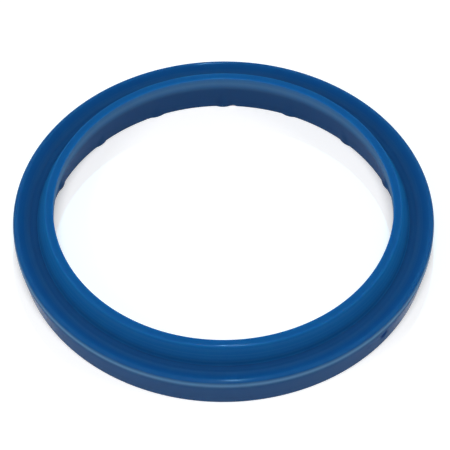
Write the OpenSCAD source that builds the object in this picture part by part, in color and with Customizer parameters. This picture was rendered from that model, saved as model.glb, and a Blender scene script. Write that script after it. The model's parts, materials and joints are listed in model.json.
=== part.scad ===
// Rod wiper seal: one moulded polyurethane ring with a wiping lip, a rim lip and vent nubs on its heel.
// Millimetres. The ring lies on its heel, with its axis on Z and the base at z = 0.

/* [Rod and groove] */
// Diameter of the rod that the ring wipes
rod_d = 70; // [50:1:120]
// Radial width of the groove that holds the ring
groove_w = 7.5; // [7:0.1:10]

/* [Heel] */
// Radial gap between the rod and the bore of the heel
heel_gap = 1.25; // [0.8:0.05:2]
// How far the foot of the heel stands in from the rim
heel_inset = 1.1; // [0.5:0.05:2]
// Radius of the outer edge at the base
base_round = 0.3; // [0.1:0.05:0.6]

/* [Rim] */
// Height of the rim above the base
rim_h = 7.7; // [6.5:0.1:10]
// Width of the flat left on the rim's top
rim_flat_w = 0.2; // [0.2:0.05:0.6]
// Height of the band from the leaning wall to the rim's top
rim_land = 1.9; // [1.6:0.1:3]
// Radius of the rim's outer edge
rim_round = 0.8; // [0.3:0.05:1.2]
// Radius where the rim's top turns down into the channel
rim_crown_round = 0.6; // [0.2:0.1:0.8]
// Radius that blends the straight band into the leaning wall
rim_blend = 2.5; // [1:0.5:4]

/* [Wiping lip] */
// How far the free lip reaches inside the rod's surface
lip_bite = 0.8; // [0.3:0.05:1.2]
// Height of the lip above the rim
lip_rise = 3; // [2.5:0.1:5]
// Height of the straight band inside the lip
lip_land = 2.8; // [2:0.1:4]
// Width of the lip's flat top
lip_top_w = 1.6; // [1.2:0.1:2]
// Radius of the wiping edge
lip_edge_round = 0.15; // [0.1:0.05:0.3]
// Radius of the outer edge of the lip's top
lip_crest_round = 0.35; // [0.2:0.05:0.6]
// Radius that blends the lip's band into the leaning bore
lip_blend = 6; // [2:0.5:8]

/* [Channel] */
// Depth of the channel below the rim
channel_depth = 1; // [0.4:0.05:1.2]
// Width of the channel's floor
channel_floor_w = 1.4; // [1.2:0.1:2]
// Width that the lip's outer flank takes up
lip_flank_w = 1.8; // [1.4:0.1:2.4]
// Radius where the flank meets the channel's floor
flank_round = 0.4; // [0.2:0.1:1.2]
// Radius where the floor turns up towards the rim
floor_round = 1.2; // [0.4:0.1:2.4]

/* [Heel nubs] */
// Number of nubs round the bore of the heel
nub_count = 16; // [8:1:24]
// Width of a nub at the base
nub_w = 2.8; // [1.6:0.1:4]
// How far a nub stands out of the bore at the base
nub_proud = 0.3; // [0.15:0.05:0.6]
// Height at which a nub runs out into the leaning bore
nub_h = 5; // [3:0.1:6]
// How deep a nub is rooted in the wall
nub_seat = 0.5; // [0.3:0.1:0.8]

/* [Hidden] */
$fn = 180;
// Largest turn of one step along a rounded corner, in degrees
arc_step = 12;
// Direction of the first nub, in degrees
first_nub_angle = 90;

rod_r = rod_d / 2;
lip_r = rod_r - lip_bite;
heel_bore_r = rod_r + heel_gap;
rim_r = rod_r + groove_w;
heel_r = rim_r - heel_inset;
crest_r = lip_r + lip_top_w;
floor_in_r = crest_r + lip_flank_w;
floor_out_r = floor_in_r + channel_floor_w;
lip_h = rim_h + lip_rise;
floor_z = rim_h - channel_depth;
lip_land_z = lip_h - lip_land;

// The bore leans in by this much for each millimetre of height
bore_slope = (heel_bore_r - lip_r) / lip_land_z;

// Corners of the section as radius, height and edge radius, anticlockwise from the heel's sharp bore edge
section_corners = [
    [heel_bore_r, 0, 0],
    [heel_r, 0, base_round],
    [rim_r, rim_h - rim_land, rim_blend],
    [rim_r, rim_h, rim_round],
    [rim_r - rim_round - rim_flat_w, rim_h, rim_crown_round],
    [floor_out_r, floor_z, floor_round],
    [floor_in_r, floor_z, flank_round],
    [crest_r, lip_h, lip_crest_round],
    [lip_r, lip_h, lip_edge_round],
    [lip_r, lip_land_z, lip_blend]
];

function point(corner) = [corner[0], corner[1]];
function unit(v) = v / norm(v);

// The corner that lies a number of steps along a closed outline
function neighbour(corners, i, step) = point(corners[(i + step + len(corners)) % len(corners)]);

// Points of the arc that rounds one corner and touches both of its sides, or the sharp corner itself
function corner_arc(corners, i) =
    corners[i][2] == 0 ? [point(corners[i])] :
    let (
        tip = point(corners[i]),
        radius = corners[i][2],
        back = unit(neighbour(corners, i, -1) - tip),
        ahead = unit(neighbour(corners, i, 1) - tip),
        half_angle = acos(back * ahead) / 2,
        centre = tip + unit(back + ahead) * radius / sin(half_angle),
        start = tip + back * radius / tan(half_angle) - centre,
        side = sign(cross(ahead, back)),
        sweep = side * (180 - 2 * half_angle),
        steps = ceil(abs(sweep) / arc_step)
    )
    [for (k = [0 : steps])
        let (a = sweep * k / steps)
        centre + [start[0] * cos(a) - start[1] * sin(a), start[0] * sin(a) + start[1] * cos(a)]];

// A closed outline with each corner rounded by its own radius
module rounded_outline(corners) {
    polygon([for (i = [0 : len(corners) - 1]) each corner_arc(corners, i)]);
}

// Section of one nub: a low arc with its crown at x = 0, rooted in the wall behind it
module nub_section() {
    arc_r = (nub_w * nub_w / 4 + nub_proud * nub_proud) / (2 * nub_proud);
    depth = nub_proud + nub_seat;
    intersection() {
        translate([arc_r, 0]) circle(r = arc_r);
        translate([0, -nub_w]) square([depth, 2 * nub_w]);
    }
}

// Upright ribs on the heel's bore that lean in less than the bore does, so that they run out into it
module heel_nubs() {
    lean = atan((nub_h * bore_slope - nub_proud) / nub_h);
    below = nub_seat;
    difference() {
        for (k = [0 : nub_count - 1])
            rotate([0, 0, first_nub_angle + k * 360 / nub_count])
                translate([heel_bore_r - nub_proud, 0, 0])
                    rotate([0, -lean, 0])
                        translate([0, 0, -below])
                            linear_extrude(height = below + nub_h / cos(lean)) nub_section();
        translate([0, 0, -2 * below]) cylinder(r = rim_r, h = 2 * below);
    }
}

module wiper_ring() {
    color([0.08, 0.33, 0.58]) {
        rotate_extrude() rounded_outline(section_corners);
        heel_nubs();
    }
}

wiper_ring();
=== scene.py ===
"""A rod wiper seal: the moulded ring's skin, its polyurethane finish, and a plain white studio.

The ring's lengths are millimetres until its mesh is made, and the studio's are metres. The ring's axis is Z,
and its heel stands on z = 0.
"""

import json

import bpy
import numpy as np
from mathutils import Matrix, Vector


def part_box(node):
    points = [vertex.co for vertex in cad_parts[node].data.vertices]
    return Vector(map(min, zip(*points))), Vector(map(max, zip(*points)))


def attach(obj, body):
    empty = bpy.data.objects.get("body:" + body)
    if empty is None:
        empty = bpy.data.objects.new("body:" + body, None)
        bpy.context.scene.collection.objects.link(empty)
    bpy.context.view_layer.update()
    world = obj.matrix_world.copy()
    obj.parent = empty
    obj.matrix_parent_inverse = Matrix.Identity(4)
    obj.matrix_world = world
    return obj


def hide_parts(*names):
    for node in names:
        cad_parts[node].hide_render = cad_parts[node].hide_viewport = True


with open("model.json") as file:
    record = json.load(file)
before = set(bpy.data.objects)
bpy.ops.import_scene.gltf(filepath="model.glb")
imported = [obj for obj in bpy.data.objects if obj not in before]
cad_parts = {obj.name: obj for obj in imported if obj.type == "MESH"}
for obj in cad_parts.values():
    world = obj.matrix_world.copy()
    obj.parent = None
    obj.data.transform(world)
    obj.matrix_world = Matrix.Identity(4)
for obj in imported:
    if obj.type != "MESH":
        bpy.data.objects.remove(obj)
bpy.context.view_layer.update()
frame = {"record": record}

MM = 0.001

# The ring's main sizes, from the fits that the record states and the height of the solid
mounts = {mount["name"]: mount for mount in frame["record"]["mounts"]}
LIP_R = mounts["rod_bore"]["dims"]["r_mm"]
RIM_R = mounts["groove_rim"]["dims"]["r_mm"]
LIP_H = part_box("wiper_ring")[1].z / MM

# Sizes of the lip, the channel, the rim and the heel
LIP_BITE = 0.8
LIP_RISE = 3.0
LIP_LAND = 2.8
LIP_TOP_W = 1.6
LIP_FLANK_W = 1.8
CHANNEL_FLOOR_W = 1.4
CHANNEL_DEPTH = 1.0
RIM_LAND = 1.9
RIM_FLAT_W = 0.2
HEEL_GAP = 1.25
HEEL_INSET = 1.1

# Radii of the section's corners
BORE_EDGE_ROUND = 0.08
BASE_ROUND = 0.3
RIM_BLEND = 2.5
RIM_ROUND = 0.8
RIM_CROWN_ROUND = 0.6
FLOOR_ROUND = 1.2
FLANK_ROUND = 0.4
LIP_CREST_ROUND = 0.35
LIP_EDGE_ROUND = 0.15
LIP_BLEND = 6.0

# Places on the section
HEEL_BORE_R = LIP_R + LIP_BITE + HEEL_GAP
HEEL_R = RIM_R - HEEL_INSET
RIM_H = LIP_H - LIP_RISE
RIM_LAND_Z = RIM_H - RIM_LAND
CROWN_R = RIM_R - RIM_ROUND - RIM_FLAT_W
LIP_LAND_Z = LIP_H - LIP_LAND
CREST_R = LIP_R + LIP_TOP_W
CHANNEL_IN_R = CREST_R + LIP_FLANK_W
CHANNEL_OUT_R = CHANNEL_IN_R + CHANNEL_FLOOR_W
CHANNEL_Z = RIM_H - CHANNEL_DEPTH

# Corners of the section, anticlockwise from the heel's bore:
# radius, height, edge radius, rows along the arc, rows along the side that follows
SECTION = (
    (HEEL_BORE_R, 0.0, BORE_EDGE_ROUND, 3, 4),
    (HEEL_R, 0.0, BASE_ROUND, 6, 8),
    (RIM_R, RIM_LAND_Z, RIM_BLEND, 6, 4),
    (RIM_R, RIM_H, RIM_ROUND, 12, 2),
    (CROWN_R, RIM_H, RIM_CROWN_ROUND, 5, 10),
    (CHANNEL_OUT_R, CHANNEL_Z, FLOOR_ROUND, 9, 6),
    (CHANNEL_IN_R, CHANNEL_Z, FLANK_ROUND, 9, 14),
    (CREST_R, LIP_H, LIP_CREST_ROUND, 8, 4),
    (LIP_R, LIP_H, LIP_EDGE_ROUND, 6, 4),
    (LIP_R, LIP_LAND_Z, LIP_BLEND, 9, 12),
)
TURN_STEPS = 640

# Ribs in the bore of the heel: the corners whose rows carry them, the slack in radius there, and their sizes
RIB_CORNERS = (len(SECTION) - 1, 0)
RIB_SLACK = 0.1
RIB_COUNT = 16
RIB_FIRST = np.pi / 2
RIB_W = 2.8
RIB_PROUD = 0.3
RIB_H = 5.0
RIB_FILLET = 0.05
RIB_ARC_SHARE = 0.9

# How far a face looks outwards, inwards or up: where a cover begins and is full, and what counts as flat
WALL_FACING = (0.62, 0.84)
BORE_FACING = (0.50, 0.90)
LEVEL_UP = (0.93, 0.98)
TURNED_UP = (0.0, 0.4)
FLAT_UP = 0.995

# Discs that find ridges and sharp edges: their reach, and how open they are on a flat face and on an edge
RIDGE_REACH = 3.0
EDGE_REACH = 1.0
FLAT_OPEN = 0.5
RIDGE_OPEN = (0.4, 0.6)
EDGE_OPEN = (0.5, 0.6)
SPIRAL_POINTS = 600
GOLDEN_ANGLE = np.pi * (3 - np.sqrt(5))

# Search for the section's other side: the least way that counts, and the least divisor
NEAR_WAY = 0.05
TINY = 1e-9

# Painted light and shade in the blue: painted glow from the edges and from the thin and free lip, a painted
# glow at the wiping edge, painted shade down the bore, and one level on the walls
EDGE_GLOW_GAIN = 2.0
THIN_GLOW_GAIN = 6.0
THIN_DEPTH = 1.5
LIP_GLOW_GAIN = 0.55
GLOW_GAIN = 0.9
GLOW_REACH = 0.5
WALL_PALE = 0.2
BORE_THIN = 0.4
BORE_SHADE_Z = (LIP_H - 3.5, LIP_H - 1.5)

# Gloss all over, and what the walls, the ridges and the sharp edges add to it
FLAT_POLISH = 0.03
WALL_POLISH = 0.12
BORE_POLISH = 0.07
RIDGE_POLISH = 0.08
RIM_EDGE_POLISH = 0.18
LIP_EDGE_POLISH = 0.90

# Painted reflection of the lit floor on the upright faces: cover of the whole wall and of its densest band,
# and the band's place
WALL_REFLECTION = 0.05
RIM_REFLECTION = 0.85
RIM_REFLECTION_Z = RIM_H - 0.85
RIM_REFLECTION_HALF = 0.48
LIP_REFLECTION = 0.50
LIP_REFLECTION_Z = LIP_H - 1.4
LIP_REFLECTION_HALF = 1.3

# Cover of the lighter streaks that turning leaves, which also paint highlight lines in the channel
STREAK_AND_SHEEN_SHARE = 0.06


def turn(vector, angle):
    """A flat vector turned by each of an array of angles."""
    cos, sin = np.cos(angle), np.sin(angle)
    return np.stack([vector[0] * cos - vector[1] * sin, vector[0] * sin + vector[1] * cos], -1)


def rounded_section():
    """The section's closed outline as rows of radius and height, and the corner that each row belongs to.

    An arc touches both sides of each corner: its centre lies on the corner's bisector, at the edge radius
    divided by the sine of half the corner's angle. The side after it is sampled by a cosine law, so that its
    rows crowd towards the arcs.
    """
    tips = np.array([corner[:2] for corner in SECTION])
    back = np.roll(tips, 1, 0) - tips
    back /= np.linalg.norm(back, axis=1, keepdims=True)
    ahead = -np.roll(back, -1, 0)
    half = np.arccos(np.sum(back * ahead, 1)) / 2
    bisector = back + ahead
    bisector /= np.linalg.norm(bisector, axis=1, keepdims=True)
    side = np.sign(ahead[:, 0] * back[:, 1] - ahead[:, 1] * back[:, 0])
    arcs = []
    for i, (_, _, radius, arc_rows, _) in enumerate(SECTION):
        centre = tips[i] + bisector[i] * radius / np.sin(half[i])
        start = tips[i] + back[i] * radius / np.tan(half[i]) - centre
        arcs.append(centre + turn(start, side[i] * np.linspace(0, np.pi - 2 * half[i], arc_rows)))
    rows, owner = [], []
    for i, (_, _, _, arc_rows, side_rows) in enumerate(SECTION):
        first, last = arcs[i][-1], arcs[(i + 1) % len(arcs)][0]
        share = 0.5 - 0.5 * np.cos(np.pi * np.arange(1, side_rows + 1) / (side_rows + 1))
        rows += [arcs[i], first + share[:, None] * (last - first)]
        owner += [i] * (arc_rows + side_rows)
    return np.concatenate(rows), np.array(owner)


def ramp(value, ends):
    """A straight rise from 0 at the first end to 1 at the second, and level beyond them."""
    low, high = ends
    return np.clip((value - low) / (high - low), 0, 1)


def bell(place, middle, half_width):
    """A bell curve, which is 1 at its middle."""
    return np.exp(-((place - middle) / half_width) ** 2)


def open_share(rows, disc_r):
    """Share of a small disc round each row that lies in the open: low in a groove, high at a thin edge.

    The disc is filled by a spiral of evenly spread points. A point is inside the ring where a line from it
    along the radius crosses the section's outline an odd number of times, and the ground closes what is
    below.
    """
    count = np.arange(SPIRAL_POINTS) + 0.5
    reach = disc_r * np.sqrt(count / SPIRAL_POINTS)
    swing = count * GOLDEN_ANGLE
    spiral = np.stack([reach * np.cos(swing), reach * np.sin(swing)], -1)
    probe = rows[:, None, None] + spiral[None, :, None]
    start, end = rows, np.roll(rows, -1, 0)
    spans = (start[:, 1] > probe[..., 1]) != (end[:, 1] > probe[..., 1])
    rise = np.where(start[:, 1] == end[:, 1], 1.0, end[:, 1] - start[:, 1])
    crossing = start[:, 0] + (probe[..., 1] - start[:, 1]) / rise * (end[:, 0] - start[:, 0])
    inside = np.sum(spans & (probe[..., 0] < crossing), -1) % 2 == 1
    return 1 - np.mean(inside | (probe[:, :, 0, 1] < 0), 1)


def outward(rows):
    """The section's outward normal at each row, square to the line between the row's two neighbours."""
    along = np.roll(rows, -1, 0) - np.roll(rows, 1, 0)
    along /= np.linalg.norm(along, axis=1, keepdims=True)
    return np.stack([along[:, 1], -along[:, 0]], -1)


def depth_behind(rows):
    """How thick the ring is behind each row: the way along the inward normal to where it leaves the section.

    The normal meets a side of the outline where the crossing lies ahead of the row and between the side's
    ends, and the nearest crossing counts.
    """
    inward = -outward(rows)[:, None]
    start = rows[None] - rows[:, None]
    side = np.roll(rows, -1, 0) - rows
    spread = inward[..., 0] * side[:, 1] - inward[..., 1] * side[:, 0]
    spread = np.where(np.abs(spread) < TINY, TINY, spread)
    way = (start[..., 0] * side[:, 1] - start[..., 1] * side[:, 0]) / spread
    share = (start[..., 0] * inward[..., 1] - start[..., 1] * inward[..., 0]) / spread
    return np.min(np.where((way > NEAR_WAY) & (share >= 0) & (share <= 1), way, LIP_H), 1)


def upright_cover(rows):
    """How far each row belongs to the outer wall and to the bore.

    Both are ramps of how squarely the row faces away from the axis or towards it.
    """
    facing = outward(rows)[:, 0]
    outer = ramp(facing, WALL_FACING) * (rows[:, 0] > CHANNEL_OUT_R)
    inner = ramp(-facing, BORE_FACING)
    return outer, inner


def painted_light_and_shade(rows):
    """Painted light and shade in the blue at each row: painted glow on ridges, edges and the free lip, and
    where the ring is thin, and painted shade in the hollows.

    Ridges and edges are the open shares of a large and a small disc, so hollows get painted shade. Thinness
    counts on the lip alone: it falls off exponentially with the depth behind, and fades out down the bore as
    painted shade. The wiping edge glows in a bell curve of the distance from it, a painted glow. On the
    upright faces one level takes the place of the ridges.
    """
    radius, height = rows.T
    outer, inner = upright_cover(rows)
    on_lip = np.where(inner > 0, BORE_THIN * ramp(height, BORE_SHADE_Z), radius < CHANNEL_IN_R)
    # The ridge term paints shade in the hollows and glow on the ridges; the rest paints glow through the
    # thin, free lip and at the wiping edge
    ridge = open_share(rows, RIDGE_REACH)
    ridge += (outer + inner) * (WALL_PALE - ridge)
    edge = EDGE_GLOW_GAIN * np.maximum(open_share(rows, EDGE_REACH) - FLAT_OPEN, 0) * (1 - outer)
    thin = THIN_GLOW_GAIN * np.exp(-depth_behind(rows) / THIN_DEPTH) * on_lip
    free_lip = LIP_GLOW_GAIN * ramp(height, (RIM_H, LIP_H))
    glow = GLOW_GAIN * bell(np.hypot(radius - LIP_R, height - LIP_H), 0, GLOW_REACH)
    return ridge + edge + thin + free_lip + glow


def painted_floor_reflection(rows):
    """Painted reflection of the lit floor on the upright faces, densest in a band below the rim's edge and in
    one inside the lip.

    It is a share of cover: on the outer wall a level with a bell curve of height on top of it, and in the
    bore a bell curve alone.
    """
    outer, inner = upright_cover(rows)
    height = rows[:, 1]
    wall = WALL_REFLECTION + (RIM_REFLECTION - WALL_REFLECTION) * bell(height, RIM_REFLECTION_Z, RIM_REFLECTION_HALF)
    return outer * wall + inner * LIP_REFLECTION * bell(height, LIP_REFLECTION_Z, LIP_REFLECTION_HALF)


def polish_cover(rows):
    """How glossy each row is: most on the lip's outer edge, less on the rim's edge, the walls and the ridges.

    Ridges and edges are ramps of the open shares of a large and a small disc, and they shine where they look
    nearly straight up. An edge counts on its outward side, and the lip's flat top isn't part of it.
    """
    facing, up = outward(rows).T
    level = ramp(up, LEVEL_UP)
    ridge = level * ramp(open_share(rows, RIDGE_REACH), RIDGE_OPEN)
    edge = level * ramp(open_share(rows, EDGE_REACH), EDGE_OPEN) * (facing > 0)
    edge *= np.where(rows[:, 1] > RIM_H, LIP_EDGE_POLISH * (up < FLAT_UP), RIM_EDGE_POLISH)
    outer, inner = upright_cover(rows)
    return FLAT_POLISH + WALL_POLISH * outer + BORE_POLISH * inner + RIDGE_POLISH * ridge + edge


def streak_and_sheen_cover(rows):
    """Cover of the turning streaks, partly painted highlight lines: a ramp of how far the row looks up, with
    none on the wall or the bore.
    """
    return STREAK_AND_SHEEN_SHARE * ramp(outward(rows)[:, 1], TURNED_UP)


def rib_height(along, z):
    """How far the ribs stand out of the bore, at an arc length from the nearest rib and a height.

    A rib's section is a circular arc, RIB_W wide and RIB_PROUD high. Its crown falls in a straight line from
    its full height at the base to nothing at RIB_H. A height h then becomes half the sum of h and the root
    of h squared plus the fillet squared, which rounds the corner with the bore. What that leaves above RIB_H
    fades out over as much again.
    """
    arc_r = (RIB_W ** 2 / 4 + RIB_PROUD ** 2) / (2 * RIB_PROUD)
    crown = RIB_PROUD * (1 - z / RIB_H)
    reach = np.minimum(np.abs(along), RIB_ARC_SHARE * arc_r)
    proud = crown - (arc_r - np.sqrt(arc_r ** 2 - reach ** 2))
    return 0.5 * (proud + np.sqrt(proud ** 2 + RIB_FILLET ** 2)) * np.clip(2 - z / RIB_H, 0, 1)


def ring_skin():
    """The ring's surface: the section's rows carried round the axis, with the ribs standing inwards.

    Radius(angle, row) is the row's own radius, less the height of the nearest rib where the row lies on the
    bore. Rows and angles both close on themselves. The fields of the finish, with its painted light and
    shade, depend on the row alone.
    """
    rows, owner = rounded_section()
    angle = np.linspace(0, 2 * np.pi, TURN_STEPS, endpoint=False)[:, None]
    radius, height = rows[None, :, 0], rows[None, :, 1]
    step = 2 * np.pi / RIB_COUNT
    from_rib = (angle - RIB_FIRST + step / 2) % step - step / 2
    on_bore = np.isin(owner, RIB_CORNERS) & (rows[:, 0] < HEEL_BORE_R + RIB_SLACK) & (rows[:, 1] < LIP_LAND_Z)
    radius = radius - on_bore * rib_height(HEEL_BORE_R * from_rib, height)
    points = np.stack(np.broadcast_arrays(radius * np.cos(angle), radius * np.sin(angle), height), -1)
    # Painted light and shade, the painted floor reflection, gloss, turning streaks that partly paint
    # highlights, and the wall's cover
    fields = {
        "pale": painted_light_and_shade(rows),
        "bloom": painted_floor_reflection(rows),
        "polish": polish_cover(rows),
        "turned": streak_and_sheen_cover(rows),
        "wall": upright_cover(rows)[0],
    }
    return points * MM, {name: np.broadcast_to(values, points.shape[:2]) for name, values in fields.items()}


def grid_mesh(name, points, fields):
    """A mesh from a grid of points that closes in both directions, one quad to each cell, facing outwards.

    Each field is a grid of values, which becomes an attribute of the mesh's points.
    """
    turns, rows = points.shape[:2]
    index = np.arange(turns * rows).reshape(turns, rows)
    ahead, up = np.roll(index, -1, 0), np.roll(index, -1, 1)
    both = np.roll(ahead, -1, 1)
    quads = np.stack([index, ahead, both, up], -1).reshape(-1, 4)
    mesh = bpy.data.meshes.new(name)
    mesh.from_pydata(points.reshape(-1, 3), [], quads.tolist())
    mesh.polygons.foreach_set("use_smooth", np.ones(len(quads), bool))
    for field, values in fields.items():
        attribute = mesh.attributes.new(field, "FLOAT", "POINT")
        attribute.data.foreach_set("value", values.ravel().astype(np.float32))
    mesh.update()
    return mesh


def add_object(name, data):
    """A new object at the origin, linked to the scene."""
    made = bpy.data.objects.new(name, data)
    bpy.context.scene.collection.objects.link(made)
    return made


def new_material(name):
    """A material with an empty node tree and its output node."""
    material = bpy.data.materials.new(name)
    material.use_nodes = True
    tree = material.node_tree
    tree.nodes.clear()
    return material, tree, tree.nodes.new("ShaderNodeOutputMaterial")


def add_node(tree, kind, inputs=None, **settings):
    """A node with its settings made. An input that is a socket is linked, and any other is set."""
    made = tree.nodes.new(kind)
    for name, value in settings.items():
        setattr(made, name, value)
    for name, value in (inputs or {}).items():
        if isinstance(value, bpy.types.NodeSocket):
            tree.links.new(value, made.inputs[name])
        else:
            made.inputs[name].default_value = value
    return made


def maths(tree, operation, *values):
    """One step of arithmetic on values, each of them a socket or a number."""
    return add_node(tree, "ShaderNodeMath", dict(enumerate(values)), operation=operation).outputs["Value"]


def vector_maths(tree, operation, *values):
    """One step of arithmetic on vectors, each of them a socket or three numbers."""
    made = add_node(tree, "ShaderNodeVectorMath", dict(enumerate(values)), operation=operation)
    return made.outputs["Value" if operation == "LENGTH" else "Vector"]


def map_range(tree, value, ends, results, **settings):
    """A value carried from one range to another, and level beyond its ends."""
    return add_node(tree, "ShaderNodeMapRange", {
        "Value": value,
        "From Min": ends[0],
        "From Max": ends[1],
        "To Min": results[0],
        "To Max": results[1],
    }, **settings).outputs["Result"]


def skin_field(tree, name):
    """The value of one of the skin's fields."""
    return add_node(tree, "ShaderNodeAttribute", attribute_name=name).outputs["Fac"]


# The Mix node's colour sockets, which share their names with its other kinds
MIX_SHARE, MIX_FIRST, MIX_SECOND, MIX_RESULT = 0, 6, 7, 2


def mix_colour(tree, share, first, second):
    """The colour that lies a share of the way from the first to the second."""
    inputs = {MIX_FIRST: first, MIX_SECOND: second, MIX_SHARE: share}
    return add_node(tree, "ShaderNodeMix", inputs, data_type="RGBA").outputs[MIX_RESULT]


# Lit and shaded copies of the polyurethane's blue, along its painted light and shade, from the walls and the
# painted shade of the channel to the painted glow of the wiping edge
BLUE_BY_PAINTED_LIGHT = (
    (0.20, (0.0050, 0.047, 0.148, 1.0)),
    (0.38, (0.0085, 0.060, 0.178, 1.0)),
    (0.50, (0.0055, 0.060, 0.188, 1.0)),
    (0.62, (0.0048, 0.064, 0.210, 1.0)),
    (1.00, (0.0080, 0.086, 0.250, 1.0)),
    (1.22, (0.0050, 0.073, 0.222, 1.0)),
    (1.47, (0.0060, 0.094, 0.282, 1.0)),
    (2.90, (0.0065, 0.106, 0.315, 1.0)),
    (3.40, (0.0100, 0.150, 0.385, 1.0)),
)
PALEST = 4.0
# The grey-blue of the painted floor reflection, also used for the streaks
REFLECTION_GREY = (0.098, 0.222, 0.375, 1.0)

# Noises of the finish, each as scale per metre and detail, and the values that the streaks rise between
TURNING_GRAIN = (3000.0, 2.0)
STREAK_GRAIN = (1300.0, 2.0)
STREAK_RANGE = (0.45, 0.75)
RAGGED_GRAIN = (900.0, 3.0)
CLOUD_GRAIN = (70.0, 3.0)
RIPPLE_GRAIN = (350.0, 1.0)

# Roughness, relief and coat, with what a slanting view adds to the coat of the outer wall
ROUGHNESS_RANGE = (0.16, 0.22)
SCUFF_ROUGHNESS = 0.35
RIPPLE_SHARE = 2.5
BUMP_STRENGTH = 0.3
BUMP_DEPTH = 0.02 * MM
COAT_ROUGHNESS = 0.07
SLANT_BLEND = 0.5
SLANT_RANGE = (0.81, 0.92)
SLANT_POLISH = 0.28

# Light inside the polyurethane
POLYURETHANE_IOR = 1.5
SCATTER_RADIUS = (0.3, 0.8, 1.0)
SCATTER_DEPTH = 1.2 * MM

# Wear as direction in degrees, radius, height, half width, half height and strength
SCUFFS = (
    (318.0, RIM_R, 4.1, 1.3, 1.7, 0.95),
    (322.6, RIM_R, 5.2, 0.7, 0.9, 0.40),
    (312.2, RIM_R, 4.2, 0.9, 0.8, 0.30),
)
NICKS = (
    (86.7, HEEL_BORE_R, 0.0, 0.75, 0.45, 1.0),
    (116.5, HEEL_BORE_R, 0.0, 0.45, 0.30, 0.7),
)
SCUFF_NAVY = (0.004, 0.026, 0.110, 1.0)
NICK_PALE = (0.800, 0.830, 0.860, 1.0)
SPOT_FADE = (0.55, 1.05)
RAGGED = 0.9 * MM


def noise(tree, grain, place):
    """A noise over the whole ring, with its grain as scale and detail."""
    scale, detail = grain
    return add_node(tree, "ShaderNodeTexNoise", {"Vector": place, "Scale": scale, "Detail": detail}).outputs


def turned_noise(tree, grain, across):
    """A noise across the section alone, which runs round the ring in fine lines."""
    scale, detail = grain
    inputs = {"W": across, "Scale": scale, "Detail": detail}
    return add_node(tree, "ShaderNodeTexNoise", inputs, noise_dimensions="1D").outputs["Fac"]


def across_section(tree, place):
    """One number for a place on the section: the distance from the axis less the height."""
    flat = vector_maths(tree, "MULTIPLY", place, (1.0, 1.0, 0.0))
    height = add_node(tree, "ShaderNodeSeparateXYZ", {"Vector": place}).outputs["Z"]
    return maths(tree, "SUBTRACT", vector_maths(tree, "LENGTH", flat), height)


def torn_place(tree, place):
    """The place moved about by a noise, which gives the wear ragged edges."""
    ragged = noise(tree, RAGGED_GRAIN, place)["Color"]
    moved = vector_maths(tree, "MULTIPLY_ADD", ragged, (RAGGED,) * 3, place)
    return vector_maths(tree, "SUBTRACT", moved, (RAGGED / 2,) * 3)


def spot_mask(tree, place, spots):
    """A mask of soft spots. Each holds its strength round its centre and fades to nothing at its edge.

    The distance from the centre is counted in half widths and half heights, and the strongest spot counts.
    """
    masks = []
    for direction, radius, height, half_width, half_height, strength in spots:
        side = np.radians(direction)
        centre = (radius * MM * np.cos(side), radius * MM * np.sin(side), height * MM)
        reach = (half_width * MM, half_width * MM, half_height * MM)
        away = vector_maths(tree, "DIVIDE", vector_maths(tree, "SUBTRACT", place, centre), reach)
        away = vector_maths(tree, "LENGTH", away)
        masks.append(map_range(tree, away, SPOT_FADE, (strength, 0.0), interpolation_type="SMOOTHSTEP"))
    strongest = masks[0]
    for mask in masks[1:]:
        strongest = maths(tree, "MAXIMUM", strongest, mask)
    return strongest


def blue_by_painted_light(tree):
    """The blue at each point, from a ramp of lit and shaded colours along the skin's painted light and shade.
    """
    pale = maths(tree, "DIVIDE", skin_field(tree, "pale"), PALEST)
    blue = add_node(tree, "ShaderNodeValToRGB", {"Fac": pale})
    stops = blue.color_ramp.elements
    stops.remove(stops[-1])
    for level, colour in BLUE_BY_PAINTED_LIGHT:
        stops.new(level / PALEST).color = colour
    stops.remove(stops[0])
    return blue.outputs["Color"]


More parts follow.
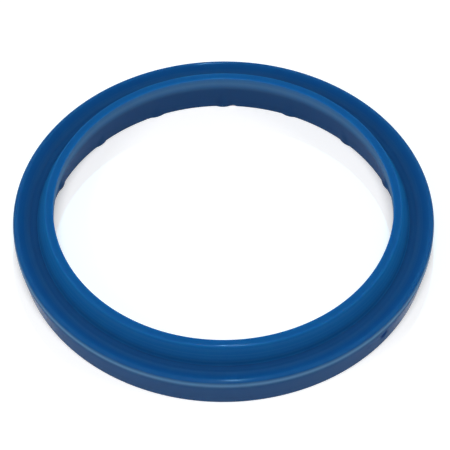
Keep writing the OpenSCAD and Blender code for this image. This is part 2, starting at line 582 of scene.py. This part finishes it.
def polyurethane():
    """Satin blue turned polyurethane that lets light in, with painted glow on its edges and painted shade in
    its hollows, turning marks that also paint highlight lines, a painted floor reflection on the upright
    faces, and wear.
    """
    material, tree, output = new_material("polyurethane_blue")
    place = add_node(tree, "ShaderNodeTexCoord").outputs["Object"]
    across = across_section(tree, place)
    torn = torn_place(tree, place)
    scuff = spot_mask(tree, torn, SCUFFS)
    nick = spot_mask(tree, torn, NICKS)

    # Colour: faint turning streaks, partly painted highlight lines, and the painted floor reflection over the
    # blue, then dark scuffs on the wall and nicks at the bore's edge
    streak_and_sheen = turned_noise(tree, STREAK_GRAIN, across)
    streak_and_sheen = map_range(tree, streak_and_sheen, STREAK_RANGE, (0.0, skin_field(tree, "turned")))
    colour = mix_colour(tree, streak_and_sheen, blue_by_painted_light(tree), REFLECTION_GREY)
    colour = mix_colour(tree, skin_field(tree, "bloom"), colour, REFLECTION_GREY)
    colour = mix_colour(tree, scuff, colour, SCUFF_NAVY)
    colour = mix_colour(tree, nick, colour, NICK_PALE)

    # Roughness varies in clouds and rises on the scuffs
    rough = map_range(tree, noise(tree, CLOUD_GRAIN, place)["Fac"], (0.0, 1.0), ROUGHNESS_RANGE)
    rough = maths(tree, "MULTIPLY_ADD", scuff, SCUFF_ROUGHNESS, rough)

    # Relief: the turning marks on a faint ripple
    ripple = noise(tree, RIPPLE_GRAIN, place)["Fac"]
    relief = maths(tree, "MULTIPLY_ADD", ripple, RIPPLE_SHARE, turned_noise(tree, TURNING_GRAIN, across))
    bump = add_node(tree, "ShaderNodeBump", {
        "Height": relief,
        "Strength": BUMP_STRENGTH,
        "Distance": BUMP_DEPTH,
    })

    # Coat: the outer wall grows glossier where it is seen at a slant, and scuffs are dull
    slant = add_node(tree, "ShaderNodeLayerWeight", {"Blend": SLANT_BLEND}).outputs["Facing"]
    slant = map_range(tree, slant, SLANT_RANGE, (0.0, SLANT_POLISH))
    polish = maths(tree, "MULTIPLY_ADD", skin_field(tree, "wall"), slant, skin_field(tree, "polish"))
    polish = maths(tree, "MULTIPLY", polish, maths(tree, "SUBTRACT", 1.0, scuff))

    shader = add_node(tree, "ShaderNodeBsdfPrincipled", {
        "Base Color": colour,
        "Coat Weight": polish,
        "Coat Roughness": COAT_ROUGHNESS,
        "Roughness": rough,
        "Normal": bump.outputs["Normal"],
        "IOR": POLYURETHANE_IOR,
        "Specular IOR Level": 0.0,
        "Subsurface Weight": 1.0,
        "Subsurface Radius": SCATTER_RADIUS,
        "Subsurface Scale": SCATTER_DEPTH,
    })
    tree.links.new(shader.outputs["BSDF"], output.inputs["Surface"])
    return material


# The floor's paper, and how much brighter than lit paper it is seen
PAPER_WHITE = (0.9, 0.9, 0.9, 1.0)
FLOOR_LIFT = 0.32


def floor_material():
    """Plain white paper, lifted to white wherever it is seen, straight or mirrored, but not as light."""
    material, tree, output = new_material("floor_white")
    paper = add_node(tree, "ShaderNodeBsdfDiffuse", {"Color": PAPER_WHITE})
    ray = add_node(tree, "ShaderNodeLightPath").outputs
    seen = maths(tree, "ADD", ray["Is Camera Ray"], ray["Is Glossy Ray"])
    seen = maths(tree, "ADD", seen, ray["Is Transmission Ray"])
    lift = add_node(tree, "ShaderNodeEmission", {"Strength": maths(tree, "MULTIPLY", seen, FLOOR_LIFT)})
    both = add_node(tree, "ShaderNodeAddShader", {0: paper.outputs["BSDF"], 1: lift.outputs["Emission"]})
    tree.links.new(both.outputs["Shader"], output.inputs["Surface"])
    return material


# The ring
ring = add_object("wiper_ring_skin", grid_mesh("wiper_ring_skin", *ring_skin()))
ring.data.materials.append(polyurethane())
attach(ring, "root")
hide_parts("wiper_ring")

# The floor, a hair below the heel
FLOOR_HALF = 3.0
FLOOR_GAP = 0.02 * MM
FLOOR_CORNERS = ((-1, -1), (1, -1), (1, 1), (-1, 1))
floor_mesh = bpy.data.meshes.new("floor")
floor_mesh.from_pydata(
    [(x * FLOOR_HALF, y * FLOOR_HALF, -FLOOR_GAP) for x, y in FLOOR_CORNERS], [], [(0, 1, 2, 3)])
floor = add_object("floor", floor_mesh)
floor.data.materials.append(floor_material())

# Studio lamps, each as direction and elevation in degrees, size, power and colour, and a dim dome
DOME_LEVEL = 0.20
LAMP_DISTANCE = 1.2
WHITE = (1.0, 1.0, 1.0)
PALE_BLUE = (0.30, 0.75, 1.0)
LAMPS = (
    ("key", 270, 68, 0.40, 7.0, WHITE),
    ("left", 220, 42, 0.40, 2.6, WHITE),
    ("right", 340, 42, 0.40, 1.7, WHITE),
    ("front", 270, 42, 0.40, 0.4, WHITE),
    ("spark", 88, 68, 0.024, 3.2, PALE_BLUE),
)

world = bpy.data.worlds.new("studio")
bpy.context.scene.world = world
world.use_nodes = True
world.node_tree.nodes.clear()
dome = add_node(world.node_tree, "ShaderNodeBackground", {"Color": (*WHITE, 1.0), "Strength": DOME_LEVEL})
world_output = world.node_tree.nodes.new("ShaderNodeOutputWorld")
world.node_tree.links.new(dome.outputs["Background"], world_output.inputs["Surface"])

for name, direction, elevation, size, power, colour in LAMPS:
    lamp = bpy.data.lights.new(name, "AREA")
    lamp.shape = "DISK"
    lamp.size = size
    lamp.energy = power
    lamp.color = colour
    side, up = np.radians(direction), np.radians(elevation)
    towards = Vector((np.cos(side) * np.cos(up), np.sin(side) * np.cos(up), np.sin(up)))
    lamp_object = add_object(name, lamp)
    lamp_object.location = towards * LAMP_DISTANCE
    lamp_object.rotation_mode = "QUATERNION"
    lamp_object.rotation_quaternion = (-towards).to_track_quat("-Z", "Y")

# The camera looks at the middle of the heel, and its shift sets the ring's place in the frame
CAMERA_ELEVATION = np.radians(50.63)
CAMERA_DISTANCE = 519.93 * MM
CAMERA_SENSOR = 36.0
CAMERA_LENS = 203.66
CAMERA_ROLL = -0.0043
CAMERA_SHIFT = (0.0032, 0.0275)
CAMERA_CLIP = (0.01, 20.0)

camera = bpy.data.cameras.new("camera")
camera.sensor_width = CAMERA_SENSOR
camera.lens = CAMERA_LENS
camera.shift_x, camera.shift_y = CAMERA_SHIFT
camera.clip_start, camera.clip_end = CAMERA_CLIP
back = Vector((0.0, -np.cos(CAMERA_ELEVATION), np.sin(CAMERA_ELEVATION)))
camera_object = add_object("camera", camera)
aim = (-back).to_track_quat("-Z", "Y").to_matrix().to_4x4()
camera_object.matrix_world = (
    Matrix.Translation(back * CAMERA_DISTANCE) @ aim @ Matrix.Rotation(CAMERA_ROLL, 4, "Z"))
bpy.context.scene.camera = camera_object
bpy.context.scene.view_settings.view_transform = "Standard"
